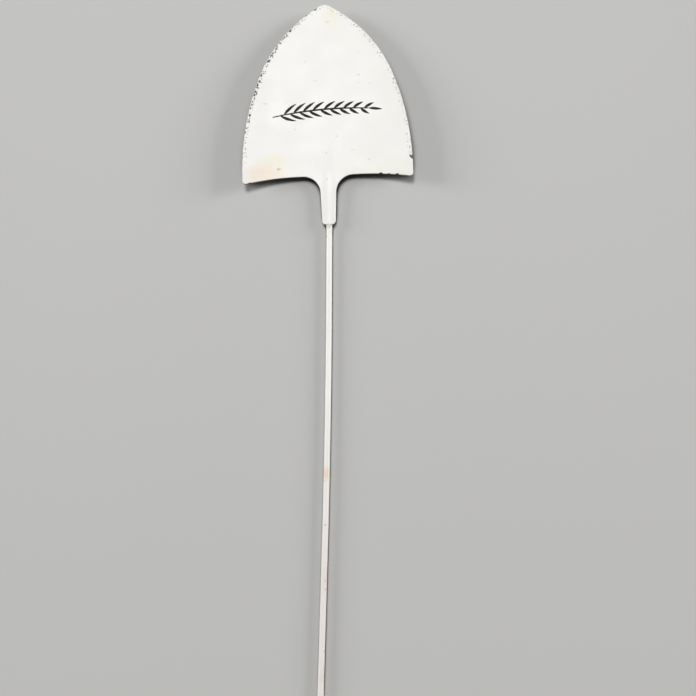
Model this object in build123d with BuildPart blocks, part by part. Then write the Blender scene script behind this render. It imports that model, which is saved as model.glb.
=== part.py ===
from build123d import *
import math
import os

# Plant label stake: a pressed steel blade in the shape of a small spade, point up, welded
# to a round wire rod that runs down behind its neck and is pushed into the soil.
# Frame: +Z up, the label face of the blade looks to -Y, and the origin lies on the axis
# of the rod's lower leg at the soil line. Lengths are in millimetres, turns in degrees.

# Rod: wire with its coat of paint, with one long shallow bow between two straight lengths
rod_diameter = 2.6
soil_depth = 70.0
leg_above_soil = 17.0
bow_radius = 4700.0
bow_turn = 1.4
straight_below_neck = 37.0
rod_above_shoulder = 15.0
rod_end_chamfer = 0.4

# Blade outline, as the flat blank is cut
blade_width = 80.0
side_upright = 6.0
lower_side_radius = 135.0
lower_side_turn = 20.2
upper_side_radius = 70.0
tip_radius = 4.5
shoulder_drop = 3.5
corner_radius = 1.4
neck_length = 23.7
neck_end_width = 6.2
neck_taper = 2.0
neck_root_radius = 8.1
neck_corner_radius = 2.1

# Blade form, as pressed, and its set on the rod
sheet_thickness = 1.0
dish_radius = 230.0
hump_half_width = 4.2
hump_fade = 9.0
blade_lean = 1.5
blade_pitch = 1.5
rod_seat_gap = 0.03
blank_overrun = 5.0

# Weld beads in the two corners between the rod and the back of the neck
bead_length = 9.0
bead_radius = 1.0
bead_ripple = 0.12
bead_ripple_count = 6
bead_beside_rod = 0.75
bead_behind_crest = 0.95
bead_above_neck_end = 6.0

# Tack that holds the rod's top end to the back of the blade
tack_radius = 1.3
tack_behind_crest = 0.85

# The rod's line: the leg leans by the bow's turn, and the length above the bow is upright
rod_radius = rod_diameter / 2
bow_angle = math.radians(bow_turn)
leg_direction = (math.sin(bow_angle), math.cos(bow_angle))
upright_x = leg_above_soil * math.sin(bow_angle) + bow_radius * (1 - math.cos(bow_angle))
bow_top_z = leg_above_soil * math.cos(bow_angle) + bow_radius * math.sin(bow_angle)
neck_end_z = bow_top_z + straight_below_neck
rod_top_z = neck_end_z + neck_length + rod_above_shoulder
crest_back_y = -(rod_radius + rod_seat_gap)

# The outline's sides: the upper arc runs on until the tip's arc can close it on the axis
half_width = blade_width / 2
corner_height = neck_length - shoulder_drop
lower_angle = math.radians(lower_side_turn)
side_inset = half_width - lower_side_radius * (1 - math.cos(lower_angle))
upper_centre_x = side_inset - upper_side_radius * math.cos(lower_angle)
tip_angle = math.acos(-upper_centre_x / (upper_side_radius - tip_radius))
upper_side_turn = math.degrees(tip_angle) - lower_side_turn
tip_turn = 90 - math.degrees(tip_angle)
blade_top = (
    corner_height
    + side_upright
    + lower_side_radius * math.sin(lower_angle)
    + upper_side_radius * (math.sin(tip_angle) - math.sin(lower_angle))
    + tip_radius * (1 - math.sin(tip_angle))
)

# The pressed sheet is drawn at evenly spaced levels above the end of the neck, each with
# points at these shares of the hump's half width and of the blank's reach to each side
level_count = 12
level_step = (blade_top + 2 * blank_overrun) / (level_count - 1)
hump_shares = [0, 0.25, 0.5, 0.75, 1, 1.5]
wing_shares = [0.3, 0.55, 0.78, 1]


def sheet_points(level, forward):
    """Points across the sheet at one level, in front of its back face by an amount."""
    below_rod_top = neck_length + rod_above_shoulder - level
    slope = math.tan(math.radians(blade_pitch))
    # The wings lie on one pitched plane. The hump's crest follows the straight rod, so it
    # stands in front of that plane, highest at the neck, and fades out where the rod ends.
    wing_y = crest_back_y + slope * below_rod_top
    crest_height = slope * (below_rod_top + math.hypot(below_rod_top, hump_fade)) / 2
    places = [hump_half_width * share for share in hump_shares]
    places += [(half_width + blank_overrun) * share for share in wing_shares]
    right = []
    for place in places:
        across_hump = math.pi * min(place / hump_half_width, 1)
        hump = crest_height * (1 + math.cos(across_hump)) / 2
        dish = dish_radius - math.sqrt(dish_radius**2 - place**2)
        right.append((place, wing_y - hump - dish - forward))
    left = [(-place, y) for place, y in reversed(right[1:])]
    return left + right


# Stake rod: the leg, the bow and the upright length behind the blade, as one bent wire
with BuildPart() as stake_rod:
    with BuildLine(Plane.XZ) as rod_line:
        leg = Line(
            (-soil_depth * leg_direction[0], -soil_depth * leg_direction[1]),
            (leg_above_soil * leg_direction[0], leg_above_soil * leg_direction[1]),
        )
        bow = JernArc(leg @ 1, leg % 1, bow_radius, bow_turn)
        Line(bow @ 1, (upright_x, rod_top_z))
    with BuildSketch(Plane(origin=rod_line.line @ 0, z_dir=rod_line.line % 0)):
        Circle(rod_radius)
    sweep(path=rod_line.line)
    end_faces = stake_rod.faces().filter_by(GeomType.PLANE).sort_by(Axis.Z)
    chamfer(end_faces[0].edges() + end_faces[-1].edges(), rod_end_chamfer)

# Outline of the blank, drawn from the middle of the neck's end, with its lean on the rod
lean_angle = math.radians(blade_lean)
blank_plane = Plane(
    origin=(upright_x, 0, neck_end_z),
    x_dir=(math.cos(lean_angle), 0, math.sin(lean_angle)),
    z_dir=(0, -1, 0),
)
with BuildSketch(blank_plane) as blank_outline:
    with BuildLine():
        taper = math.radians(neck_taper)
        root_start = neck_length - neck_root_radius * (1 - math.sin(taper))
        neck_end = Line((0, 0), (neck_end_width / 2, 0))
        neck_side = Line(
            neck_end @ 1, (neck_end_width / 2 + root_start * math.tan(taper), root_start)
        )
        root = JernArc(neck_side @ 1, neck_side % 1, neck_root_radius, neck_taper - 90)
        shoulder = TangentArc(root @ 1, (half_width, corner_height), tangent=root % 1)
        upright = Line(shoulder @ 1, (half_width, corner_height + side_upright))
        lower_side = JernArc(upright @ 1, upright % 1, lower_side_radius, lower_side_turn)
        upper_side = JernArc(lower_side @ 1, lower_side % 1, upper_side_radius, upper_side_turn)
        JernArc(upper_side @ 1, upper_side % 1, tip_radius, tip_turn)
        mirror(about=Plane.YZ)
    make_face()
    for side in (-1, 1):
        blade_corner = (side * half_width, corner_height)
        fillet(blank_outline.vertices().sort_by_distance(blade_corner)[0], corner_radius)
        neck_corner = (side * neck_end_width / 2, 0)
        fillet(blank_outline.vertices().sort_by_distance(neck_corner)[0], neck_corner_radius)

# Spade blade: the pressed sheet through all its levels, trimmed to the blank's outline
with BuildPart() as spade_blade:
    for step in range(level_count):
        level = level_step * step - blank_overrun
        with BuildSketch(Plane(origin=(upright_x, 0, neck_end_z + level))):
            with BuildLine():
                front = Spline(sheet_points(level, sheet_thickness))
                back = Spline(sheet_points(level, 0))
                Line(front @ 0, back @ 0)
                Line(front @ 1, back @ 1)
            make_face()
    loft()
    extrude(blank_outline.sketch, amount=half_width, both=True, mode=Mode.INTERSECT)


def weld_bead(side):
    """One rippled bead along the rod, cut back to the faces of the rod and the sheet."""
    bead_start = Vector(
        upright_x + side * (rod_radius + bead_beside_rod),
        crest_back_y + bead_behind_crest,
        neck_end_z + bead_above_neck_end,
    )
    valley_radius = bead_radius - bead_ripple
    pitch = bead_length / bead_ripple_count
    with BuildPart() as bead:
        with BuildSketch(Plane(origin=bead_start, x_dir=(1, 0, 0), z_dir=(0, -1, 0))):
            with BuildLine():
                Polyline((valley_radius, 0), (0, 0), (0, bead_length), (valley_radius, bead_length))
                for ripple in range(bead_ripple_count):
                    ThreePointArc(
                        (valley_radius, pitch * ripple),
                        (bead_radius, pitch * (ripple + 1 / 2)),
                        (valley_radius, pitch * (ripple + 1)),
                    )
            make_face()
        revolve(axis=Axis(bead_start, (0, 0, 1)))
        add(stake_rod.part, mode=Mode.SUBTRACT)
        add(spade_blade.part, mode=Mode.SUBTRACT)
    return bead


left_weld_bead = weld_bead(-1)
right_weld_bead = weld_bead(1)

# Top weld tack: a round spot over the corner of the rod's top end, cut back in the same way
with BuildPart() as top_weld_tack:
    with Locations((upright_x, crest_back_y + tack_behind_crest, rod_top_z)):
        Sphere(tack_radius)
    add(stake_rod.part, mode=Mode.SUBTRACT)
    add(spade_blade.part, mode=Mode.SUBTRACT)

# One file for each piece, named after it
os.makedirs("parts", exist_ok=True)

stake_rod.part.label = "stake_rod"
export_step(stake_rod.part, "parts/stake_rod.step")

spade_blade.part.label = "spade_blade"
export_step(spade_blade.part, "parts/spade_blade.step")

left_weld_bead.part.label = "left_weld_bead"
export_step(left_weld_bead.part, "parts/left_weld_bead.step")

right_weld_bead.part.label = "right_weld_bead"
export_step(right_weld_bead.part, "parts/right_weld_bead.step")

top_weld_tack.part.label = "top_weld_tack"
export_step(top_weld_tack.part, "parts/top_weld_tack.step")

print("blade height above the shoulders", round(blade_top - neck_length, 1))
print("stake height from foot to tip", round(neck_end_z + blade_top + soil_depth, 1))
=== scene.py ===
# %% [markdown]
# # A plant label stake with a pressed and painted blade
#
# The real thing is a small spade cut from sheet steel, point up, which is pressed over a length
# of wire, welded to it from behind and painted white. Its edges are dabbed with dark paint, so
# that it looks old. A print stands in the middle of its face.
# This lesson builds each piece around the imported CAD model: the model gives the places, and the
# cells below give the finish, the soft edges and the paint.

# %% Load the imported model
import math
import bmesh
import bpy
from mathutils import Matrix, Vector, kdtree, noise


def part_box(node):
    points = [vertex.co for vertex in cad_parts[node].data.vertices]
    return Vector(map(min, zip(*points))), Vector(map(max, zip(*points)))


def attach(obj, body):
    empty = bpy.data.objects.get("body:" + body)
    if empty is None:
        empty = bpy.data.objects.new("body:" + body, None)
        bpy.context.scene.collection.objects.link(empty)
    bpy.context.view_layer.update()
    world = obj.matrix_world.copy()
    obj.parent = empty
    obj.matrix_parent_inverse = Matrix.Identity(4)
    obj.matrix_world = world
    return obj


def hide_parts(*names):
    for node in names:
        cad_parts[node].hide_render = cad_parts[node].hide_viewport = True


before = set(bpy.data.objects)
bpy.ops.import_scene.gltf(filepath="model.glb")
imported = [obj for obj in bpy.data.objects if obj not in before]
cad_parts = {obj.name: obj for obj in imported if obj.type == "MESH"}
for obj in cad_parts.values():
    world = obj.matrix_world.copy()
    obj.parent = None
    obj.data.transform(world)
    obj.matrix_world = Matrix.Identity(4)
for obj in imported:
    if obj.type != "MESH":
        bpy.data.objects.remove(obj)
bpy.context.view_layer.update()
print("CAD nodes:", sorted(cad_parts))

# %% [markdown]
# ## Sizes
#
# Blender works in metres here, and the maker's sizes are millimetres, so each size is a number
# times `MM`. The sizes are those of the CAD model. What can be measured on the model is measured
# there: the rod's box gives the place of the rod and, from its top, of the blade.

# %% The maker's sizes
MM = 0.001

rod_radius = 1.3 * MM
rod_coat = 0.06 * MM
rod_end_chamfer = 0.4 * MM
soil_depth = 70 * MM
leg_above_soil = 17 * MM
bow_radius = 4700 * MM
bow_turn = math.radians(1.4)
straight_below_neck = 37 * MM

blade_width = 80 * MM
side_upright = 6 * MM
lower_side_radius = 135 * MM
lower_side_turn = math.radians(20.2)
upper_side_radius = 70 * MM
tip_radius = 4.5 * MM
shoulder_drop = 3.5 * MM
corner_radius = 1.4 * MM
neck_length = 23.7 * MM
neck_end_width = 6.2 * MM
neck_taper = math.radians(2)
neck_root_radius = 8.1 * MM
neck_corner_radius = 2.1 * MM
rod_above_shoulder = 15 * MM

sheet_thickness = 1 * MM
dish_radius = 230 * MM
hump_half_width = 4.2 * MM
hump_fade = 9 * MM
blade_lean = math.radians(1.5)
blade_pitch = math.radians(1.5)
rod_seat_gap = 0.03 * MM

# %% How close two points are when they count as one
touching = 0.01 * MM
in_one_place = 0.001 * MM

# %% One seed for all vector noise, so that each run makes the same pieces
noise.seed_set(7)

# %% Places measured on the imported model
rod_low, rod_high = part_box("stake_rod")
upright_x = rod_high.x - rod_radius
neck_end_z = rod_high.z - rod_above_shoulder - neck_length
blade_turn = Matrix.Rotation(-blade_lean, 4, "Y")
blade_place = Matrix.Translation((upright_x, 0, neck_end_z)) @ blade_turn
print("the neck ends", round(neck_end_z / MM, 1), "mm above the soil line")

# %% [markdown]
# ## Shader node groups
#
# Four finishes are needed more than once: the skin of the paint, a soft patch for stains and painted
# shade, tiny specks and dabs along an edge. Each is a node group with named inputs and outputs, made
# once and placed in every material that needs it. A group hands on masks and heights only, and the
# shader itself stays in the material, where it can be set piece by piece.


# %% Small helpers for nodes
def add_node(tree, kind, inputs=None, **settings):
    """Add a node, then set or link its inputs by name or by number."""
    made = tree.nodes.new(kind)
    for name, value in settings.items():
        setattr(made, name, value)
    for key, value in (inputs or {}).items():
        if isinstance(value, bpy.types.NodeSocket):
            tree.links.new(value, made.inputs[key])
        else:
            made.inputs[key].default_value = value
    return made


def own_place(tree):
    """The place of the shaded point in the object's own coordinates, in metres."""
    return add_node(tree, "ShaderNodeTexCoord").outputs["Object"]


def calculate(tree, operation, first, second=0.0, third=0.0):
    """One Math node, from its operation and up to three numbers or sockets."""
    return add_node(
        tree, "ShaderNodeMath", {0: first, 1: second, 2: third}, operation=operation
    ).outputs[0]


def multiply(tree, first, second):
    return calculate(tree, "MULTIPLY", first, second)


def ramp(tree, value, start, end, low=0.0, high=1.0):
    """A smooth step: low where the value is under start, high where it is over end."""
    return add_node(
        tree,
        "ShaderNodeMapRange",
        {"Value": value, "From Min": start, "From Max": end, "To Min": low, "To Max": high},
        interpolation_type="SMOOTHSTEP",
    ).outputs["Result"]


def cloud(tree, where, scale, detail):
    """Soft grey clouds of noise, as a number round about one half."""
    return add_node(
        tree, "ShaderNodeTexNoise", {"Vector": where, "Scale": scale, "Detail": detail}
    ).outputs["Fac"]


def mix_colour(tree, share, under, over):
    """Lay one colour over another by a share from 0 to 1."""
    return add_node(
        tree, "ShaderNodeMix", {0: share, 6: under, 7: over}, data_type="RGBA"
    ).outputs[2]


def new_group(name, inputs, outputs):
    """An empty node group with its sockets, and its two end nodes."""
    tree = bpy.data.node_groups.new(name, "ShaderNodeTree")
    for label, kind, value in inputs:
        socket = tree.interface.new_socket(label, in_out="INPUT", socket_type=kind)
        socket.default_value = value
    for label in outputs:
        tree.interface.new_socket(label, in_out="OUTPUT", socket_type="NodeSocketFloat")
    return tree, tree.nodes.new("NodeGroupInput").outputs, tree.nodes.new("NodeGroupOutput").inputs


def place_group(tree, group, inputs=None):
    """Place a node group in a material and give back its outputs."""
    return add_node(tree, "ShaderNodeGroup", inputs, node_tree=group).outputs


NUMBER = "NodeSocketFloat"
PLACE = "NodeSocketVector"


# %% Paint skin: the fine orange peel of sprayed paint and its slow waves
peel_share = 0.35


def make_paint_skin():
    tree, given, wanted = new_group(
        "paint_skin", [("Peel Size", NUMBER, 0.7), ("Wave Size", NUMBER, 9.0)], ["Height", "Tone"]
    )
    here = own_place(tree)
    peel = cloud(tree, here, calculate(tree, "DIVIDE", 1000.0, given["Peel Size"]), 3.0)
    wave = cloud(tree, here, calculate(tree, "DIVIDE", 1000.0, given["Wave Size"]), 2.0)
    peel_height = multiply(tree, peel, peel_share)
    height = calculate(tree, "MULTIPLY_ADD", wave, 1 - peel_share, peel_height)
    tree.links.new(height, wanted["Height"])
    tree.links.new(ramp(tree, wave, 0.3, 0.7), wanted["Tone"])
    return tree


paint_skin = make_paint_skin()


# %% Soft patch: a patch with a ragged border, for stains and painted shade, placed in the object's own coordinates
full_patch_share = 0.3


def make_soft_patch():
    tree, given, wanted = new_group(
        "soft_patch",
        [
            ("Centre", PLACE, (0.0, 0.0, 0.0)),
            ("Reach", PLACE, (0.005, 0.1, 0.005)),
            ("Ragged", NUMBER, 0.6),
            ("Grain", NUMBER, 300.0),
        ],
        ["Mask"],
    )
    here = own_place(tree)
    offset = add_node(
        tree, "ShaderNodeVectorMath", {0: here, 1: given["Centre"]}, operation="SUBTRACT"
    )
    shares = add_node(
        tree, "ShaderNodeVectorMath", {0: offset.outputs[0], 1: given["Reach"]}, operation="DIVIDE"
    )
    away = add_node(tree, "ShaderNodeVectorMath", {0: shares.outputs[0]}, operation="LENGTH")
    shift = calculate(tree, "SUBTRACT", cloud(tree, here, given["Grain"], 4.0), 0.5)
    border = calculate(tree, "MULTIPLY_ADD", shift, given["Ragged"], away.outputs["Value"])
    tree.links.new(ramp(tree, border, full_patch_share, 1.0, 1.0, 0.0), wanted["Mask"])
    return tree


soft_patch = make_soft_patch()


# %% Fine specks: single tiny dots, far apart. Their sizes are shares of the spacing
smallest_speck = 0.05
speck_size_range = 0.08
soft_speck = 1.6


def make_fine_specks():
    tree, given, wanted = new_group(
        "fine_specks", [("Spacing", NUMBER, 3.0), ("Chance", NUMBER, 0.3)], ["Mask"]
    )
    scale = calculate(tree, "DIVIDE", 1000.0, given["Spacing"])
    cells = add_node(tree, "ShaderNodeTexVoronoi", {"Vector": own_place(tree), "Scale": scale})
    draw = add_node(tree, "ShaderNodeSeparateColor", {0: cells.outputs["Color"]})
    chosen = calculate(tree, "LESS_THAN", draw.outputs[0], given["Chance"])
    size = calculate(tree, "MULTIPLY_ADD", draw.outputs[1], speck_size_range, smallest_speck)
    border = multiply(tree, size, soft_speck)
    dot = ramp(tree, cells.outputs["Distance"], size, border, 1.0, 0.0)
    tree.links.new(multiply(tree, chosen, dot), wanted["Mask"])
    return tree


fine_specks = make_fine_specks()


# %% Dabbed edge: round dots in a band along an edge. Distances from the edge are in millimetres
band_rise = 0.4
band_falls_from = 0.9
chance_softness = 0.1
smallest_dab = 0.6
dab_size_range = 0.6
soft_dab = 1.35
shake_size = 0.6 * MM


def make_dabbed_edge():
    tree, given, wanted = new_group(
        "dabbed_edge",
        [
            ("Edge Distance", NUMBER, 1.0),
            ("Band Start", NUMBER, 0.2),
            ("Band End", NUMBER, 2.0),
            ("Amount", NUMBER, 0.5),
            ("Spacing", NUMBER, 1.2),
            ("Dot Share", NUMBER, 0.3),
        ],
        ["Mask"],
    )
    here = own_place(tree)
    shake = add_node(tree, "ShaderNodeTexNoise", {"Vector": here, "Scale": 1400.0})
    shaken = add_node(
        tree,
        "ShaderNodeVectorMath",
        {0: shake.outputs["Color"], 1: (shake_size, shake_size, shake_size), 2: here},
        operation="MULTIPLY_ADD",
    )
    place = add_node(tree, "ShaderNodeSeparateXYZ", {0: shaken.outputs[0]})
    flat = add_node(tree, "ShaderNodeCombineXYZ", {0: place.outputs["X"], 1: place.outputs["Z"]})
    dots = add_node(
        tree,
        "ShaderNodeTexVoronoi",
        {"Vector": flat.outputs[0], "Scale": calculate(tree, "DIVIDE", 1000.0, given["Spacing"])},
        voronoi_dimensions="2D",
    )
    draw = add_node(tree, "ShaderNodeSeparateColor", {0: dots.outputs["Color"]})
    band_full = calculate(tree, "ADD", given["Band Start"], band_rise)
    rise = ramp(tree, given["Edge Distance"], given["Band Start"], band_full)
    fall = ramp(tree, given["Edge Distance"], band_falls_from, given["Band End"], 1.0, 0.0)
    chance = multiply(tree, multiply(tree, rise, fall), given["Amount"])
    lucky = calculate(tree, "SUBTRACT", chance, draw.outputs[0])
    chosen = ramp(tree, lucky, 0.0, chance_softness)
    size = calculate(tree, "MULTIPLY_ADD", draw.outputs[1], dab_size_range, smallest_dab)
    size = multiply(tree, size, given["Dot Share"])
    border = multiply(tree, size, soft_dab)
    dot = ramp(tree, dots.outputs["Distance"], size, border, 1.0, 0.0)
    tree.links.new(multiply(tree, chosen, dot), wanted["Mask"])
    return tree


dabbed_edge = make_dabbed_edge()
print("node groups:", [group.name for group in bpy.data.node_groups])

# %% [markdown]
# ## The blank
#
# A press tool cuts the blank from flat sheet. Its outline is made of straight lengths and arcs,
# so it is walked: one vertex starts at the middle of the neck's end, and each leg either extrudes
# it straight on or spins it round the centre of an arc. Only the right half is walked, and the
# mirror operator gives the left one.


# %% Walk an outline
def ahead(heading):
    """A step of one metre in a heading, in the plane of the blade."""
    return Vector((math.cos(heading), 0, math.sin(heading)))


def walk(bm, corner, heading, legs, longest_step):
    """Draw straight legs, as (None, length), and arcs, as (radius, turn to the left)."""
    for radius, amount in legs:
        if radius is None:
            made = bmesh.ops.extrude_vert_indiv(bm, verts=[corner])["verts"]
            bmesh.ops.translate(bm, verts=made, vec=ahead(heading) * amount)
        else:
            to_centre = ahead(heading + math.copysign(math.pi / 2, amount)) * radius
            made = bmesh.ops.spin(
                bm,
                geom=[corner],
                cent=corner.co + to_centre,
                axis=(0, -1, 0),
                angle=amount,
                steps=max(3, math.ceil(radius * abs(amount) / longest_step)),
            )["geom_last"]
            heading += amount
        corner = next(part for part in made if isinstance(part, bmesh.types.BMVert))
    return corner


# %% The legs of the blank's right half, from the neck's end to the tip
half_width = blade_width / 2
upright_angle = math.pi / 2
neck_angle = upright_angle - neck_taper
neck_corner_cut = neck_corner_radius * math.tan(neck_angle / 2)
root_start = neck_length - neck_root_radius * (1 - math.sin(neck_taper))
root_end_x = (
    neck_end_width / 2
    + root_start * math.tan(neck_taper)
    + neck_root_radius * math.cos(neck_taper)
)
shoulder_reach = half_width - root_end_x
shoulder_radius = (shoulder_reach**2 + shoulder_drop**2) / (2 * shoulder_drop)
shoulder_turn = math.asin((shoulder_reach - corner_radius) / (shoulder_radius + corner_radius))
corner_top = neck_length - shoulder_radius + (shoulder_radius + corner_radius) * math.cos(shoulder_turn)
side_start = neck_length - shoulder_drop + side_upright
upper_centre_x = (
    half_width
    - lower_side_radius * (1 - math.cos(lower_side_turn))
    - upper_side_radius * math.cos(lower_side_turn)
)
tip_angle = math.acos(-upper_centre_x / (upper_side_radius - tip_radius))

outline_legs = [
    (None, neck_end_width / 2 - neck_corner_cut),
    (neck_corner_radius, neck_angle),
    (None, root_start / math.cos(neck_taper) - neck_corner_cut),
    (neck_root_radius, -neck_angle),
    (shoulder_radius, -shoulder_turn),
    (corner_radius, upright_angle + shoulder_turn),
    (None, side_start - corner_top),
    (lower_side_radius, lower_side_turn),
    (upper_side_radius, tip_angle - lower_side_turn),
    (tip_radius, upright_angle - tip_angle),
]

longest_step = 0.7 * MM
blade_bm = bmesh.new()
tip = walk(blade_bm, blade_bm.verts.new((0, 0, 0)), 0.0, outline_legs, longest_step)
print("the tip stands", round(tip.co.z / MM, 2), "mm above the neck's end, off the axis by", tip.co.x)
bmesh.ops.mirror(
    blade_bm, geom=blade_bm.verts[:] + blade_bm.edges[:], axis="X", merge_dist=touching
)
outline_edges = blade_bm.edges[:]

# %% [markdown]
# ## From the outline to a sheet with a painted rim
#
# Paint draws back from a sharp edge and leaves it round. Half of the sheet's thickness is made
# first: the outline is extruded towards the front, closed with one face, and that face is inset
# a few times on a quarter circle. The large face that is left gets a grid of cuts, because a
# sheet can only be pressed where it has points to move. The mirror operator adds the back half.

# %% The front half of the sheet
rim_radius = 0.28 * MM
rim_steps = 4
rim_hold = 0.12 * MM

wall = bmesh.ops.extrude_edge_only(blade_bm, edges=outline_edges)["geom"]
bmesh.ops.translate(
    blade_bm,
    verts=[part for part in wall if isinstance(part, bmesh.types.BMVert)],
    vec=(0, rim_radius - sheet_thickness / 2, 0),
)
front_edges = [part for part in wall if isinstance(part, bmesh.types.BMEdge)]
front = bmesh.ops.contextual_create(blade_bm, geom=front_edges)["faces"][0]
front.normal_update()
if front.normal.y > 0:
    front.normal_flip()
for step in range(rim_steps):
    start, end = (upright_angle * (step + more) / rim_steps for more in (0, 1))
    bmesh.ops.inset_region(
        blade_bm,
        faces=[front],
        thickness=rim_radius * (math.cos(start) - math.cos(end)),
        depth=rim_radius * (math.sin(end) - math.sin(start)),
        use_boundary=True,
        use_even_offset=True,
    )
bmesh.ops.inset_region(
    blade_bm, faces=[front], thickness=rim_hold, use_boundary=True, use_even_offset=True
)

# %% A grid of cuts across the front face
GRID_FACE = 1
grid_pitch = 1.25 * MM
hump_pitch = 0.5 * MM
front.material_index = GRID_FACE


def cut_front(bm, place, normal):
    """Cut the marked faces along one plane. The cut gets each edge and vertex once, in order."""
    faces = [face for face in bm.faces if face.material_index == GRID_FACE]
    edges = dict.fromkeys(edge for face in faces for edge in face.edges)
    verts = dict.fromkeys(vert for face in faces for vert in face.verts)
    bmesh.ops.bisect_plane(
        bm, geom=[*verts, *edges, *faces], dist=in_one_place, plane_co=place, plane_no=normal
    )


hump_cuts = math.floor(hump_half_width / hump_pitch)
for count in range(-hump_cuts, hump_cuts + 1):
    cut_front(blade_bm, (count * hump_pitch, 0, 0), (1, 0, 0))
for count in range(1, math.floor((half_width - hump_half_width) / grid_pitch) + 1):
    for side in (-1, 1):
        cut_front(blade_bm, (side * (hump_half_width + count * grid_pitch), 0, 0), (1, 0, 0))
for count in range(1, math.floor(tip.co.z / grid_pitch) + 1):
    cut_front(blade_bm, (0, 0, count * grid_pitch), (0, 0, 1))
for face in blade_bm.faces:
    face.material_index = 0

bmesh.ops.mirror(blade_bm, geom=blade_bm.faces[:], axis="Y", merge_dist=in_one_place)
bmesh.ops.recalc_face_normals(blade_bm, faces=blade_bm.faces[:])
open_edges = [edge for edge in blade_bm.edges if len(edge.link_faces) != 2]
print("flat blank:", len(blade_bm.faces), "faces,", len(open_edges), "open edges")

# %% [markdown]
# ## What the paint has to know
#
# The dark dabs sit along the cut edge, and the stains only on the front. A material can't see how
# far a point is from the edge, so that distance is measured once and stored on the vertices as an
# attribute, in millimetres, together with a share that is 1 on the front and 0 on the back. Both
# are measured while the sheet is still flat.

# %% Nicks in the cut edge: across, up from the neck's end, reach and depth, in millimetres
nicks = [
    (39.7, 29.6, 1.3, 0.42),
    (39.3, 44.5, 0.8, 0.18),
    (36.6, 20.6, 0.9, 0.2),
    (32.6, 21.5, 1.2, 0.3),
    (28.6, 22.2, 0.9, 0.24),
    (24.9, 22.7, 1.2, 0.32),
    (-36.6, 20.8, 0.8, 0.2),
    (-4.6, 107.6, 2.0, 0.3),
    (-8.6, 104.9, 1.5, 0.25),
    (-26.4, 89.0, 0.9, 0.2),
    (-33.0, 71.2, 1.0, 0.25),
    (-38.6, 46.0, 0.8, 0.2),
]


# %% Measure the distance to the cut edge
def sample_edges(edges, pitch):
    """Points along edges, close enough together to measure distances from."""
    for edge in edges:
        start, end = (vert.co for vert in edge.verts)
        count = max(1, math.ceil((end - start).length / pitch))
        for number in range(count):
            yield start.lerp(end, number / count)


def in_plane(place):
    return Vector((place.x, 0, place.z))


sample_pitch = 0.1 * MM
cut_edges = [
    edge for edge in blade_bm.edges if all(abs(vert.co.y) < touching for vert in edge.verts)
]
edge_points = list(sample_edges(cut_edges, sample_pitch))
edge_tree = kdtree.KDTree(len(edge_points))
for number, point in enumerate(edge_points):
    edge_tree.insert(in_plane(point), number)
edge_tree.balance()

edge_layer = blade_bm.verts.layers.float.new("edge_distance")
front_layer = blade_bm.verts.layers.float.new("front_share")
bare_layer = blade_bm.verts.layers.float.new("bare_share")
for vert in blade_bm.verts:
    vert[edge_layer] = edge_tree.find(in_plane(vert.co))[2] / MM
    vert[front_layer] = 0.5 - vert.co.y / sheet_thickness

# %% Nicks in the rim, and the slight unevenness of a dipped edge
blade_middle = Vector((0, 0, 55 * MM))
wobble_reach_mm = 1.2
wobble_depth = 0.05 * MM
wobbles_in_a_metre = 420
for across, up, reach, depth in nicks:
    centre = Vector((across, 0, up)) * MM
    inwards = (blade_middle - centre).normalized()
    for vert in blade_bm.verts:
        away = (in_plane(vert.co) - centre).length / (reach * MM)
        if away < 1:
            share = (1 - away**2) ** 2
            vert.co += inwards * depth * MM * share
            vert[bare_layer] = max(vert[bare_layer], share)
for vert in blade_bm.verts:
    near = max(0.0, 1 - vert[edge_layer] / wobble_reach_mm)
    wobble = noise.noise_vector(in_plane(vert.co) * wobbles_in_a_metre) * wobble_depth * near
    vert.co += Vector((wobble.x, 0, wobble.z))

# %% [markdown]
# ## Pressing
#
# The press gives the sheet three forms at once: a shallow dish across the face, a low hump that
# makes room for the rod, and a slight pitch of the whole face against the rod. The hump follows
# the straight rod and fades out where the rod ends. A press moves the metal and adds none, and so
# does this cell: each vertex keeps its place in the blank and moves to the back or to the front.


# %% Press the sheet and save it as a piece
def pressed_y(place):
    """Where the middle of the pressed sheet lies, from front to back, at a place on the blade."""
    across = abs(place.x - upright_x)
    below_rod_top = neck_end_z + neck_length + rod_above_shoulder - place.z
    slope = math.tan(blade_pitch)
    crest_height = slope * (below_rod_top + math.hypot(below_rod_top, hump_fade)) / 2
    hump = crest_height * (1 + math.cos(math.pi * min(across / hump_half_width, 1))) / 2
    dish = dish_radius - math.sqrt(dish_radius**2 - across**2)
    wings = slope * below_rod_top - rod_radius - rod_seat_gap
    return wings - hump - dish - sheet_thickness / 2


def save_piece(bm, name, replaced=()):
    """Turn a finished bmesh into a smooth piece that rides on the stake's one body."""
    mesh = bpy.data.meshes.new(name)
    bm.to_mesh(mesh)
    bm.free()
    mesh.polygons.foreach_set("use_smooth", [True] * len(mesh.polygons))
    piece = bpy.data.objects.new(name, mesh)
    bpy.context.scene.collection.objects.link(piece)
    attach(piece, "root")
    if replaced:
        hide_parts(*replaced)
    print(name, "has", len(mesh.polygons), "faces")
    return piece


bmesh.ops.transform(blade_bm, matrix=blade_place, verts=blade_bm.verts[:])
for vert in blade_bm.verts:
    vert.co.y += pressed_y(vert.co)
blade = save_piece(blade_bm, "pressed_blade", ["spade_blade"])

# %% [markdown]
# ## The rod
#
# The rod is one length of wire. A circle is extruded along the straight leg, spun round the far
# centre of its long shallow bow, and extruded again up behind the blade. Both ends are cut square
# with a small chamfer, which a first and a last short step with a change of size give.


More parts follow.
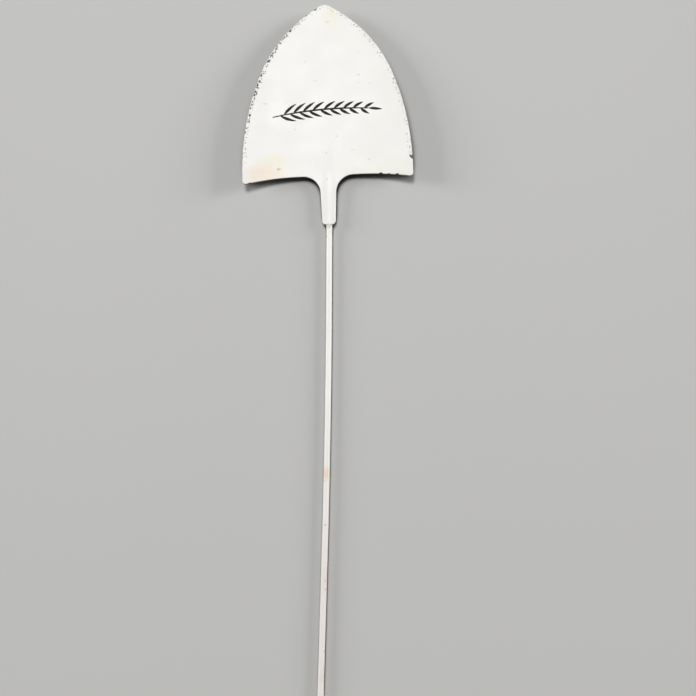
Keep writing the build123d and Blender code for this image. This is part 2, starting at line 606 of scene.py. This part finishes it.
# %% Sweep a ring step by step
def extrude_ring(bm, ring, move, scale=1.0, steps=1):
    """Carry a ring of edges on by a move, in steps, and size the last step's ring."""
    for step in range(steps):
        made = bmesh.ops.extrude_edge_only(bm, edges=ring)["geom"]
        verts = [part for part in made if isinstance(part, bmesh.types.BMVert)]
        ring = [part for part in made if isinstance(part, bmesh.types.BMEdge)]
        bmesh.ops.translate(bm, verts=verts, vec=move / steps)
        if scale != 1.0:
            middle = sum((vert.co for vert in verts), Vector()) / len(verts)
            shrink = Matrix.Scale(scale, 4)
            bmesh.ops.transform(bm, matrix=shrink, space=Matrix.Translation(-middle), verts=verts)
    return ring


rod_sides = 40
coated_radius = rod_radius + rod_coat
ring_pitch = 2.5 * MM
leg_way = Vector((math.sin(bow_turn), 0, math.cos(bow_turn)))
end_scale = coated_radius / (coated_radius - rod_end_chamfer)
foot = -leg_way * soil_depth
leg_length = soil_depth + leg_above_soil
upright_length = rod_high.z - neck_end_z + straight_below_neck

rod_bm = bmesh.new()
bmesh.ops.create_circle(
    rod_bm,
    segments=rod_sides,
    radius=coated_radius - rod_end_chamfer,
    cap_ends=True,
    matrix=Matrix.Translation(foot) @ Matrix.Rotation(bow_turn, 4, "Y"),
)
ring = extrude_ring(rod_bm, rod_bm.edges[:], leg_way * rod_end_chamfer, end_scale)
straight = leg_length - rod_end_chamfer
ring = extrude_ring(rod_bm, ring, leg_way * straight, steps=math.ceil(straight / ring_pitch))
leg_end = foot + leg_way * leg_length
bow_centre = leg_end + Vector((-leg_way.z, 0, leg_way.x)) * bow_radius
spun = bmesh.ops.spin(
    rod_bm,
    geom=ring,
    cent=bow_centre,
    axis=(0, -1, 0),
    angle=bow_turn,
    steps=math.ceil(bow_radius * bow_turn / ring_pitch),
)["geom_last"]
ring = [part for part in spun if isinstance(part, bmesh.types.BMEdge)]
straight = upright_length - rod_end_chamfer
ring = extrude_ring(rod_bm, ring, Vector((0, 0, straight)), steps=math.ceil(straight / ring_pitch))
ring = extrude_ring(rod_bm, ring, Vector((0, 0, rod_end_chamfer)), 1 / end_scale)
bmesh.ops.contextual_create(rod_bm, geom=ring)
bmesh.ops.recalc_face_normals(rod_bm, faces=rod_bm.faces[:])

# %% Lumps of paint along the rod
lump_depth = 0.03 * MM
lumps_in_a_metre = Vector((300, 300, 90))
for vert in rod_bm.verts:
    swell = noise.noise(vert.co * lumps_in_a_metre)
    risen = max(0.0, min(1.0, vert.co.z / neck_end_z))
    outwards = Vector((vert.co.x - upright_x * risen, vert.co.y, 0))
    vert.co += outwards.normalized() * swell * lump_depth
rod = save_piece(rod_bm, "wire_rod", ["stake_rod"])

# %% [markdown]
# ## Welds
#
# Two short beads hold the rod in the hollow of the neck, and one round tack holds its top end.
# A bead is a row of drops that ran into each other. Each drop is a small ball, flattened and laid
# against the last one. A voxel remesh melts the row into one skin, as the heat did.


# %% Melt a row of drops into one weld
def melt_drops(name, drops, replaced, voxel):
    """Make one weld from (centre, three radii, tilt) for each drop."""
    bm = bmesh.new()
    for centre, radii, tilt in drops:
        shape = Matrix.Translation(centre) @ Matrix.Rotation(tilt, 4, "X")
        shape = shape @ Matrix.Diagonal((*radii, 1))
        bmesh.ops.create_icosphere(bm, subdivisions=3, radius=1.0, matrix=shape)
    lump = bpy.data.meshes.new(name + "_drops")
    bm.to_mesh(lump)
    bm.free()
    melted = bpy.data.objects.new(name + "_drops", lump)
    bpy.context.scene.collection.objects.link(melted)
    remesh = melted.modifiers.new("melt", "REMESH")
    remesh.mode = "VOXEL"
    remesh.voxel_size = voxel
    smooth = melted.modifiers.new("settle", "SMOOTH")
    smooth.iterations = 4
    ready = melted.evaluated_get(bpy.context.evaluated_depsgraph_get())
    weld_bm = bmesh.new()
    weld_bm.from_mesh(bpy.data.meshes.new_from_object(ready))
    bpy.data.objects.remove(melted)
    return save_piece(weld_bm, name, [replaced])


melt_voxel = 0.09 * MM
first_drop_above_neck_end = 6.4 * MM
last_drop_above_neck_end = 14.6 * MM
bead_beside_rod = 2.05 * MM
bead_middle_y = -0.38 * MM
bead_drop_count = 8
bead_drop_radii = Vector((0.98, 0.9, 0.72)) * MM
bead_drop_tilt = math.radians(-25)
bead_stray = 0.12 * MM
welds = []
for side, name in ((-1, "left"), (1, "right")):
    drops = []
    for number in range(bead_drop_count):
        share = number / (bead_drop_count - 1)
        stray = noise.noise_vector(Vector((side * 3.7, 0, number * 1.9))) * bead_stray
        rise = last_drop_above_neck_end - first_drop_above_neck_end
        height = first_drop_above_neck_end + share * rise
        middle = Vector((upright_x + side * bead_beside_rod, bead_middle_y, neck_end_z + height))
        drops.append((middle + stray, bead_drop_radii, bead_drop_tilt))
    welds.append(melt_drops(name + "_bead", drops, name + "_weld_bead", melt_voxel))

tack_middle_y = -0.48 * MM
tack_centre = Vector((upright_x, tack_middle_y, rod_high.z))
tack_drops = [
    (tack_centre, Vector((1.3, 1.25, 1.2)) * MM, 0.0),
    (tack_centre + Vector((0.35, -0.3, 0.45)) * MM, Vector((0.9, 0.7, 0.7)) * MM, 0.3),
    (tack_centre + Vector((-0.5, -0.35, 0.1)) * MM, Vector((0.8, 0.6, 0.9)) * MM, -0.2),
]
welds.append(melt_drops("top_tack", tack_drops, "top_weld_tack", melt_voxel))

# %% [markdown]
# ## The paint in the corner
#
# Where the rod comes out under the end of the neck, the paint ran into the corner and dried as a
# small hollow fillet. Its section has a vertical side, a short top and a hollow side that runs
# out under the rod's surface. The section is spun round the front of the rod, and its reach is
# drawn in towards both flanks until it ends there.

# %% Spin the fillet's section round the rod
fillet_reach = 0.85 * MM
fillet_drop = 1.7 * MM
fillet_half_turn = math.radians(80)
fillet_steps = 28
flank_power = 1.5
sunk = 0.25 * MM
just_sunk = 0.1 * MM
section_places = [
    (-sunk, sunk),
    (-sunk, -1.6 * fillet_drop),
    (-just_sunk, -1.35 * fillet_drop),
    (0.13 * fillet_reach, -0.7 * fillet_drop),
    (0.5 * fillet_reach, -0.3 * fillet_drop),
    (fillet_reach, -0.02 * fillet_drop),
    (fillet_reach, sunk),
]

fillet_bm = bmesh.new()
section = [fillet_bm.verts.new((coated_radius + out, 0, up)) for out, up in section_places]
face = fillet_bm.faces.new(section)
first_turn = Matrix.Rotation(-upright_angle - fillet_half_turn, 3, "Z")
bmesh.ops.rotate(fillet_bm, verts=section, cent=(0, 0, 0), matrix=first_turn)
bmesh.ops.spin(
    fillet_bm,
    geom=[face, *face.edges],
    cent=(0, 0, 0),
    axis=(0, 0, 1),
    angle=2 * fillet_half_turn,
    steps=fillet_steps,
)
for vert in fillet_bm.verts:
    outwards = Vector((vert.co.x, vert.co.y, 0))
    proud = max(0.0, outwards.length - coated_radius)
    outwards.normalize()
    front_part = max(0.0, -outwards.y) ** flank_power
    vert.co -= outwards * proud * (1 - front_part)
bmesh.ops.translate(fillet_bm, verts=fillet_bm.verts[:], vec=(upright_x, 0, neck_end_z))
bmesh.ops.recalc_face_normals(fillet_bm, faces=fillet_bm.faces[:])
fillet = save_piece(fillet_bm, "corner_paint")

# %% [markdown]
# ## The print
#
# A plain sprig of leaves is printed across the face in black ink. A sign writer would draw it
# with a broad pen: the nib is one short edge, and each small step of the hand extrudes it, turns
# it and makes it wider or narrower. The ink is a thin layer, so the strokes get a little depth and
# are then laid on the pressed face with the same formula that shaped it.


# %% Pen strokes
def pen_stroke(bm, start, heading, length, turn, widths):
    """Draw one stroke, and give back its places and headings, one for each width."""
    across = ahead(heading + upright_angle)
    nib = [bm.verts.new(start + across * widths[0] * side / 2) for side in (1, -1)]
    edge = bm.edges.new(nib)
    steps = len(widths) - 1
    stations = [(start, heading)]
    for before, width in zip(widths, widths[1:]):
        made = bmesh.ops.extrude_edge_only(bm, edges=[edge])["geom"]
        nib = [part for part in made if isinstance(part, bmesh.types.BMVert)]
        edge = next(part for part in made if isinstance(part, bmesh.types.BMEdge))
        heading += turn / steps
        start = start + ahead(heading) * length / steps
        bmesh.ops.translate(bm, verts=nib, vec=ahead(heading) * length / steps)
        turned = Matrix.Rotation(-turn / steps, 4, "Y") @ Matrix.Scale(width / before, 4)
        bmesh.ops.transform(bm, matrix=turned, space=Matrix.Translation(-start), verts=nib)
        stations.append((start, heading))
    return stations


def leaf_widths(widest, steps=14):
    """A leaf's width from its foot to its point."""
    shares = [step / steps for step in range(steps + 1)]
    return [narrowest + widest * math.sin(math.pi * share**0.8) ** 0.9 for share in shares]


narrowest = 0.12 * MM
stem_start = Vector((-25.5, 0, 53.2)) * MM
stem_heading = math.radians(13)
stem_length = 46 * MM
stem_turn = math.radians(-20)
stem_steps = 60
stem_end_width = 0.45 * MM
stem_swell = 0.4 * MM
leaf_pairs = 9
first_leaf_length = 8.4 * MM
leaf_shortening = 3.4 * MM
leaf_width = 1.25 * MM
leaf_splay = math.radians(44)
leaf_turn = math.radians(24)
pair_stagger = 0.9 * MM
end_leaf_length = 6.5 * MM
end_leaf_width = 1.2 * MM
end_leaf_turn = math.radians(-6)

stem_widths = [
    stem_end_width + stem_swell * math.sin(math.pi * step / stem_steps)
    for step in range(stem_steps + 1)
]
print_bm = bmesh.new()
stations = pen_stroke(print_bm, stem_start, stem_heading, stem_length, stem_turn, stem_widths)
for pair in range(leaf_pairs):
    share = (pair + 0.9) / (leaf_pairs + 0.6)
    place, heading = stations[round(share * stem_steps)]
    for side in (-1, 1):
        pen_stroke(
            print_bm,
            place + ahead(heading) * side * pair_stagger,
            heading + side * leaf_splay,
            first_leaf_length - leaf_shortening * share,
            -side * leaf_turn,
            leaf_widths(leaf_width),
        )
place, heading = stations[-1]
pen_stroke(
    print_bm, place, heading, end_leaf_length, end_leaf_turn, leaf_widths(end_leaf_width)
)

# %% Give the ink its depth and lay it on the face
ink_depth = 0.06 * MM
ink_proud = 0.025 * MM
ink = bmesh.ops.extrude_face_region(print_bm, geom=print_bm.faces[:])["geom"]
ink_back = [part for part in ink if isinstance(part, bmesh.types.BMVert)]
bmesh.ops.translate(print_bm, verts=ink_back, vec=(0, ink_depth, 0))
bmesh.ops.transform(print_bm, matrix=blade_place, verts=print_bm.verts[:])
for vert in print_bm.verts:
    vert.co.y += pressed_y(vert.co) - sheet_thickness / 2 - ink_proud
bmesh.ops.recalc_face_normals(print_bm, faces=print_bm.faces[:])
sprig = save_piece(print_bm, "printed_sprig")
sprig.data.polygons.foreach_set("use_smooth", [False] * len(sprig.data.polygons))

# %% [markdown]
# ## Paint on the blade
#
# The paint is a warm white with a satin sheen. Over the plain coat lie, from the bottom up: a faint
# yellow cast along the lower edge and at the tip, a peach stain in the lower left corner, a faint grey
# band of painted shade where the hump fades out, fine grey specks, and the dark dabs along the cut
# edge. Where the rim is nicked or rubbed, the dark primer shows. The back half of the rim above the
# neck has the primer's dark colour, partly as a bare cut edge and partly as painted shade for the dark
# line under the edges.


# %% Helpers for paint
def new_material(name):
    """A material with its shader and nothing else."""
    material = bpy.data.materials.new(name)
    material.use_nodes = True
    return material, material.node_tree, material.node_tree.nodes["Principled BSDF"]


def on_blade(across, up):
    """A place on the blade's face, from the middle of the neck's end, in the frame's metres."""
    place = blade_place @ Vector((across * MM, 0, up * MM))
    place.y = pressed_y(place) - sheet_thickness / 2
    return place


def patch_mask(tree, centre, reach, ragged, grain):
    """The mask of one soft patch. Its reach is across and up, in millimetres."""
    return place_group(
        tree,
        soft_patch,
        {
            "Centre": centre,
            "Reach": (reach[0] * MM, 1.0, reach[1] * MM),
            "Ragged": ragged,
            "Grain": grain,
        },
    )["Mask"]


def add_tint_patch(tree, colour, mask, strength, tint, only=None):
    """Tint a colour inside a mask, and only where a second mask lets it; it lays stains and painted
    shade.
    """
    share = multiply(tree, mask, strength)
    if only is not None:
        share = multiply(tree, share, only)
    return mix_colour(tree, share, colour, (*tint, 1.0))


def finish_paint(tree, shader, colour, roughness, height, bump_depth):
    """Join colour, roughness and bump to the shader."""
    bump = add_node(tree, "ShaderNodeBump", {"Height": height, "Distance": bump_depth})
    tree.links.new(colour, shader.inputs["Base Color"])
    tree.links.new(roughness, shader.inputs["Roughness"])
    tree.links.new(bump.outputs[0], shader.inputs["Normal"])


WARM_WHITE = (0.915, 0.9, 0.865, 1.0)
DULL_WHITE = (0.885, 0.868, 0.83, 1.0)
DARK_PRIMER_AND_SHADE = (0.02, 0.018, 0.016, 1.0)
DAB_BLACK = (0.03, 0.028, 0.025, 1.0)
GREY_SPECK = (0.42, 0.41, 0.39, 1.0)

# %% The blade's paint
blade_material, tree, shader = new_material("aged_white_paint_and_shade")
edge_distance = add_node(tree, "ShaderNodeAttribute", attribute_name="edge_distance").outputs["Fac"]
front_share = add_node(tree, "ShaderNodeAttribute", attribute_name="front_share").outputs["Fac"]
bare_share = add_node(tree, "ShaderNodeAttribute", attribute_name="bare_share").outputs["Fac"]
on_front = ramp(tree, front_share, 0.6, 0.95)
skin = place_group(tree, paint_skin, {"Peel Size": 0.8, "Wave Size": 11.0})

colour = mix_colour(tree, multiply(tree, skin["Tone"], 0.25), WARM_WHITE, DULL_WHITE)

# %% The stains on the face, and one band of painted shade: place, reach, tint, strength, raggedness and grain
stains_and_painted_shade = [
    (on_blade(3.4, 102), (7, 7), (0.90, 0.87, 0.76), 0.8, 0.6, 200.0),
    (on_blade(3.6, 105), (2, 4), (0.89, 0.84, 0.68), 0.7, 0.6, 260.0),
    (on_blade(1.6, 100.2), (1.6, 0.7), (0.70, 0.67, 0.56), 0.6, 0.6, 700.0),
    (on_blade(-5, 71), (1.6, 0.5), (0.70, 0.69, 0.66), 0.5, 0.6, 700.0),
    (on_blade(15.8, 72.5), (1.0, 0.8), (0.62, 0.61, 0.58), 0.5, 0.6, 700.0),
    (on_blade(-29, 60), (1.7, 0.6), (0.66, 0.65, 0.62), 0.5, 0.6, 700.0),
    (on_blade(12, 35.5), (1.8, 0.5), (0.72, 0.71, 0.66), 0.5, 0.6, 700.0),
    (on_blade(30, 25), (14, 8), (0.90, 0.89, 0.81), 0.9, 0.6, 160.0),
    (on_blade(30, 21.5), (16, 3.5), (0.87, 0.865, 0.78), 0.8, 0.6, 160.0),
    (on_blade(14, 24.5), (9, 3), (0.87, 0.86, 0.79), 0.8, 0.6, 160.0),
    (on_blade(-27, 24), (19, 6), (0.89, 0.86, 0.79), 0.7, 0.5, 160.0),
    (on_blade(-26, 29.5), (10, 8), (0.905, 0.87, 0.73), 0.85, 0.7, 200.0),
    (on_blade(-30.5, 25.8), (11, 7), (0.905, 0.79, 0.68), 0.9, 0.9, 220.0),
    (on_blade(-21.9, 27.8), (0.7, 0.6), (0.60, 0.60, 0.48), 0.5, 1.0, 900.0),
    # This grey band down the middle, where the hump fades out, is painted shade of the pressed fold,
    # not a stain.
    (on_blade(1.2, 31), (2.4, 11), (0.84, 0.83, 0.80), 0.55, 0.5, 120.0),
    (on_blade(-23.2, 27.6), (1.1, 1.0), (0.50, 0.43, 0.34), 0.7, 1.2, 900.0),
]
for centre, reach, tint, strength, ragged, grain in stains_and_painted_shade:
    mask = patch_mask(tree, centre, reach, ragged, grain)
    colour = add_tint_patch(tree, colour, mask, strength, tint, only=on_front)

specks = place_group(tree, fine_specks, {"Spacing": 5.0, "Chance": 0.25})["Mask"]
colour = mix_colour(tree, multiply(tree, specks, 0.25), colour, GREY_SPECK)

# %% The dark dabs, heavy along the upper left side and fine elsewhere
place = add_node(tree, "ShaderNodeSeparateXYZ", {0: own_place(tree)})
left_share = ramp(tree, place.outputs["X"], upright_x - 10 * MM, upright_x - 6 * MM, 1.0, 0.0)
side_share = ramp(tree, place.outputs["Z"], neck_end_z + 27 * MM, neck_end_z + 36 * MM)
heavy = patch_mask(tree, on_blade(-26, 75), (26, 36), 0.4, 150.0)
heavy = multiply(tree, heavy, left_share)
dark_dust = patch_mask(tree, on_blade(27, 76), (14, 20), 0.6, 150.0)


def place_dabs(band, amount, spacing, dot_share):
    """Place one kind of dab. The band's start and end and the spacing are in millimetres."""
    return place_group(
        tree,
        dabbed_edge,
        {
            "Edge Distance": edge_distance,
            "Band Start": band[0],
            "Band End": band[1],
            "Amount": amount,
            "Spacing": spacing,
            "Dot Share": dot_share,
        },
    )["Mask"]


left_amount = multiply(tree, left_share, 0.65)
left_amount = multiply(tree, side_share, left_amount)
right_amount = calculate(tree, "MULTIPLY_ADD", left_share, -0.42, 0.42)
dust_amount = calculate(tree, "MULTIPLY_ADD", side_share, 0.5, 0.06)

bold_dabs = place_dabs((0.1, 1.8), heavy, 1.7, 0.3)
left_dabs = place_dabs((-0.3, 2.3), left_amount, 1.05, 0.26)
right_dabs = place_dabs((-0.4, 2.6), right_amount, 1.25, 0.19)
right_dabs = multiply(tree, right_dabs, side_share)
dust_dabs = place_dabs((-0.4, 2.3), dust_amount, 0.75, 0.26)

right_strength = calculate(tree, "MULTIPLY_ADD", dark_dust, 0.35, 0.6)
dust_strength = calculate(tree, "MULTIPLY_ADD", left_share, 0.16, 0.34)
dab_layers = [
    (right_dabs, right_strength),
    (dust_dabs, dust_strength),
    (left_dabs, 0.75),
    (bold_dabs, 0.97),
]
for dabs, strength in dab_layers:
    colour = mix_colour(tree, multiply(tree, dabs, strength), colour, DAB_BLACK)

# %% Bare primer in the nicks and rubbed places, painted shade on the back of the rim, and the paint's shader
rub = cloud(tree, own_place(tree), 700.0, 3.0)
above_neck = ramp(tree, place.outputs["Z"], neck_end_z + 12 * MM, neck_end_z + 18 * MM)
# The back half of the rim above the neck gets the dark primer colour: partly a bare cut edge, partly
# painted shade for the dark line under the edges.
rim_back = ramp(tree, front_share, 0.6, 0.86, 1.0, 0.0)
rim_near = ramp(tree, edge_distance, 0.2, 0.45, 1.0, 0.0)
rim_shade_and_wear = multiply(tree, rim_back, rim_near)
rim_shade_and_wear = multiply(tree, rim_shade_and_wear, above_neck)
eaten = calculate(tree, "MULTIPLY_ADD", rub, -3.2, edge_distance)
eaten = multiply(tree, ramp(tree, eaten, -1.45, -1.2, 1.0, 0.0), heavy)
near_tip = ramp(tree, place.outputs["Z"], neck_end_z + 90 * MM, neck_end_z + 98 * MM, 0.25, 1.0)
eaten = multiply(tree, eaten, near_tip)
rim_shade_and_wear = calculate(tree, "MAXIMUM", rim_shade_and_wear, eaten)
chipped = multiply(tree, bare_share, ramp(tree, rub, 0.42, 0.52, 0.35, 1.6))
bare_and_shaded = calculate(tree, "MAXIMUM", rim_shade_and_wear, ramp(tree, chipped, 0.35, 0.6))
colour = mix_colour(tree, bare_and_shaded, colour, DARK_PRIMER_AND_SHADE)
height = calculate(tree, "SUBTRACT", skin["Height"], multiply(tree, bare_and_shaded, 2.0))
roughness = ramp(tree, skin["Height"], 0.3, 0.7, 0.42, 0.54)
finish_paint(tree, shader, colour, roughness, height, 0.03 * MM)
blade.data.materials.append(blade_material)

# %% [markdown]
# ## Paint on the rod and the welds
#
# The rod has the blade's white paint. Towards the foot it turns darker and a little pink, partly a pink
# tint and partly painted shade for light that falls off downwards, and there is one rusty spot some
# five centimetres above the soil line. The welds have the same paint, with traces of rust in small
# blotches.

# %% The rod's paint
rod_material, tree, shader = new_material("rod_white_paint")
place = add_node(tree, "ShaderNodeSeparateXYZ", {0: own_place(tree)})
skin = place_group(tree, paint_skin, {"Peel Size": 0.6, "Wave Size": 14.0})
# Towards the foot the colour turns darker and a little pink: partly a pink tint, partly painted shade
# for light that falls off downwards.
foot_shade_and_tint = ramp(tree, place.outputs["Z"], -10 * MM, 130 * MM, 1.0, 0.0)
colour = mix_colour(tree, foot_shade_and_tint, (0.925, 0.912, 0.872, 1.0), (0.87, 0.825, 0.785, 1.0))
tone_share = multiply(tree, skin["Tone"], 0.25)
colour = mix_colour(tree, tone_share, colour, (0.87, 0.82, 0.77, 1.0))
near_neck = (upright_x, -coated_radius, neck_end_z - 5 * MM)
cream = patch_mask(tree, near_neck, (1.2, 4), 0.8, 400.0)
colour = add_tint_patch(tree, colour, cream, 0.8, (0.92, 0.895, 0.79))
# Rusty places: across and up, reach, tint and strength. The places and reaches are in millimetres
rusty_places = [
    (1.2, 53.9, (3, 5), (0.84, 0.755, 0.63), 0.9),
    (0.85, 53.6, (1.1, 2.3), (0.88, 0.65, 0.565), 0.9),
    (1.3, -33, (3, 6), (0.74, 0.50, 0.36), 0.25),
    (1.3, 8, (3, 9), (0.74, 0.50, 0.36), 0.15),
]
for across, up, reach, tint, strength in rusty_places:
    rust = patch_mask(tree, (across * MM, 0, up * MM), reach, 1.0, 350.0)
    colour = add_tint_patch(tree, colour, rust, strength, tint)
specks = place_group(tree, fine_specks, {"Spacing": 3.2, "Chance": 0.35})["Mask"]
colour = mix_colour(tree, multiply(tree, specks, 0.5), colour, (0.25, 0.2, 0.16, 1.0))
roughness = ramp(tree, skin["Height"], 0.3, 0.7, 0.4, 0.55)
finish_paint(tree, shader, colour, roughness, skin["Height"], 0.05 * MM)
for piece in (rod, fillet):
    piece.data.materials.append(rod_material)

# %% The welds' paint
weld_material, tree, shader = new_material("weld_white_paint")
skin = place_group(tree, paint_skin, {"Peel Size": 0.35, "Wave Size": 2.5})
blotches = cloud(tree, own_place(tree), 900.0, 4.0)
rusty = ramp(tree, blotches, 0.55, 0.68, 0.0, 0.6)
colour = mix_colour(tree, skin["Tone"], (0.9, 0.885, 0.85, 1.0), (0.85, 0.82, 0.77, 1.0))
colour = mix_colour(tree, rusty, colour, (0.62, 0.45, 0.33, 1.0))
roughness = ramp(tree, blotches, 0.3, 0.7, 0.42, 0.6)
finish_paint(tree, shader, colour, roughness, skin["Height"], 0.06 * MM)
for weld in welds:
    weld.data.materials.append(weld_material)

# %% The ink
ink_material, tree, shader = new_material("black_ink")
grain = cloud(tree, own_place(tree), 1800.0, 3.0)
worn = ramp(tree, grain, 0.45, 0.75)
colour = mix_colour(tree, worn, (0.008, 0.008, 0.008, 1.0), (0.04, 0.039, 0.037, 1.0))
roughness = ramp(tree, grain, 0.3, 0.7, 0.6, 0.75)
shader.inputs["Specular IOR Level"].default_value = 0.25
finish_paint(tree, shader, colour, roughness, grain, 0.01 * MM)
sprig.data.materials.append(ink_material)

# %% [markdown]
# ## Stage, light and camera
#
# The stake stands in front of a pale board, close enough to throw the soft shadow that a label has when
# it lies on a table. Close beside the stake the board's colour is darkened as painted shade, where
# little light gets in. Floor and board show from the front only: seen from behind they are clear, and
# the board lets the light of the back lamp through to what is looked at, so that the back of the stake
# can be judged too. The key lamp lights the face, the two side lamps give the round rod its bright
# flanks, and the camera looks up from below the blade.


# %% The floor and the board
def add_plane(name, size, matrix, material):
    bm = bmesh.new()
    bmesh.ops.create_grid(bm, x_segments=1, y_segments=1, size=size / 2, matrix=matrix)
    mesh = bpy.data.meshes.new(name)
    bm.to_mesh(mesh)
    bm.free()
    made = bpy.data.objects.new(name, mesh)
    bpy.context.scene.collection.objects.link(made)
    made.data.materials.append(material)


STAGE_GREY = (0.56, 0.557, 0.545, 1.0)
STAGE_SHADE = (0.05, 0.05, 0.049, 1.0)
STAGE_PAINTED_SHADE = (0.04, 0.04, 0.039, 1.0)
stage_glow = 0.87
stage_size = 6.0
even_from = 0.1
even_beyond = 0.4
shade_reach = 25 * MM
shaded_under = 0.46
open_over = 0.7
shade_from = rod_low.z + shade_reach
shade_full = shade_from + 8 * MM
floor_gap = 0.2 * MM
board_gap = 0.15 * MM


def looked_at_share(tree, ray):
    """1 on the camera's rays, also when they come by a shiny or through a clear piece, or else 0."""
    seen = calculate(tree, "MAXIMUM", ray["Is Camera Ray"], ray["Is Glossy Ray"])
    return calculate(tree, "MAXIMUM", seen, ray["Is Transmission Ray"])


def make_stage_material(name, lit_through):
    """Pale in front, with painted shade close beside the stake, and clear from behind.

    It is dimmer for the light that it throws back, and evenly bright far off.
    """
    material, tree, shader = new_material(name)
    ray = add_node(tree, "ShaderNodeLightPath").outputs
    looked_at = looked_at_share(tree, ray)
    here = own_place(tree)
    height = add_node(tree, "ShaderNodeSeparateXYZ", {0: here}).outputs["Z"]
    near_floor = ramp(tree, height, shade_from, shade_full, 1.0, 0.0)
    # An ambient-occlusion mask darkens the board's colour close beside the stake: painted shade.
    open_share = add_node(tree, "ShaderNodeAmbientOcclusion", {"Distance": shade_reach}).outputs["AO"]
    open_share = calculate(tree, "MAXIMUM", ramp(tree, open_share, shaded_under, open_over), near_floor)
    colour = mix_colour(tree, open_share, STAGE_PAINTED_SHADE, STAGE_GREY)
    tree.links.new(mix_colour(tree, looked_at, STAGE_SHADE, colour), shader.inputs["Base Color"])
    shader.inputs["Roughness"].default_value = 0.9
    level = add_node(tree, "ShaderNodeVectorMath", {0: here, 1: (1, 1, 0)}, operation="MULTIPLY")
    away = add_node(tree, "ShaderNodeVectorMath", {0: level.outputs[0]}, operation="LENGTH")
    far_share = multiply(tree, ramp(tree, away.outputs["Value"], even_from, even_beyond), looked_at)
    even = add_node(tree, "ShaderNodeEmission", {"Color": STAGE_GREY, "Strength": stage_glow})
    stage = add_node(
        tree, "ShaderNodeMixShader", {0: far_share, 1: shader.outputs[0], 2: even.outputs[0]}
    )
    clear_share = add_node(tree, "ShaderNodeNewGeometry").outputs["Backfacing"]
    if lit_through:
        seen_directly = calculate(tree, "LESS_THAN", ray["Diffuse Depth"], 0.5)
        lets_light_in = multiply(tree, ray["Is Shadow Ray"], seen_directly)
        clear_share = calculate(tree, "MAXIMUM", clear_share, lets_light_in)
    clear = add_node(tree, "ShaderNodeBsdfTransparent")
    either = add_node(
        tree, "ShaderNodeMixShader", {0: clear_share, 1: stage.outputs[0], 2: clear.outputs[0]}
    )
    tree.links.new(either.outputs[0], tree.nodes["Material Output"].inputs["Surface"])
    return material


floor_place = Matrix.Translation((0, 0, rod_low.z - floor_gap))
add_plane("floor", stage_size, floor_place, make_stage_material("pale_floor", False))
board_place = Matrix.Translation((0, rod_high.y + board_gap, 0))
board_place = board_place @ Matrix.Rotation(upright_angle, 4, "X")
add_plane("board", stage_size, board_place, make_stage_material("pale_board", True))


# %% Lamps and the world
def add_lamp(name, place, size, power):
    """A square lamp that looks at the stake."""
    light = bpy.data.lights.new(name, "AREA")
    light.shape = "SQUARE"
    light.size = size
    light.energy = power
    lamp = bpy.data.objects.new(name, light)
    bpy.context.scene.collection.objects.link(lamp)
    lamp.location = place
    lamp.rotation_euler = (lamp_target - Vector(place)).to_track_quat("-Z", "Y").to_euler()
    lamp.visible_camera = False


lamp_target = Vector((0, 0, 0.17))
add_lamp("key_lamp", (-0.1, -2.05, 0.75), 0.6, 24.2)
add_lamp("right_lamp", (1.92, -0.62, 0.6), 0.7, 27.2)
add_lamp("left_lamp", (-1.92, -0.62, 0.6), 0.7, 25.4)
add_lamp("back_lamp", (-0.4, 1.2, 0.7), 0.9, 19.0)

world = bpy.data.worlds.new("studio")
bpy.context.scene.world = world
world.use_nodes = True
sky = world.node_tree
for_camera = add_node(sky, "ShaderNodeBackground", {"Color": STAGE_GREY, "Strength": stage_glow})
for_light = sky.nodes["Background"]
for_light.inputs["Color"].default_value = (1.0, 0.995, 0.985, 1.0)
for_light.inputs["Strength"].default_value = 0.035
looked_at = looked_at_share(sky, add_node(sky, "ShaderNodeLightPath").outputs)
chosen = add_node(
    sky, "ShaderNodeMixShader", {0: looked_at, 1: for_light.outputs[0], 2: for_camera.outputs[0]}
)
sky.links.new(chosen.outputs[0], sky.nodes["World Output"].inputs["Surface"])
bpy.context.scene.view_settings.view_transform = "Standard"

# %% The camera, below the blade and a little to its right, looking up
camera_azimuth = math.radians(4.84)
camera_elevation = math.radians(-9.5)
camera_roll = math.radians(0.09)
sight_point = Vector((upright_x, 0, neck_end_z + 23.5 * MM))
sight_distance = 455.45 * MM
sight_left = 8.65 * MM
sight_above = 80.33 * MM

back = Vector(
    (
        math.sin(camera_azimuth) * math.cos(camera_elevation),
        -math.cos(camera_azimuth) * math.cos(camera_elevation),
        math.sin(camera_elevation),
    )
)
level = Vector((math.cos(camera_azimuth), math.sin(camera_azimuth), 0))
roll = Matrix.Rotation(camera_roll, 3, back)
right = roll @ level
up = roll @ back.cross(level)

camera = bpy.data.objects.new("camera", bpy.data.cameras.new("camera"))
bpy.context.scene.collection.objects.link(camera)
camera.data.lens = 50.0
camera.data.sensor_width = 36.0
camera.data.clip_start = 0.01
camera.matrix_world = Matrix.Translation(
    sight_point + right * sight_left - up * sight_above + back * sight_distance
) @ Matrix((right, up, back)).transposed().to_4x4()
bpy.context.scene.camera = camera
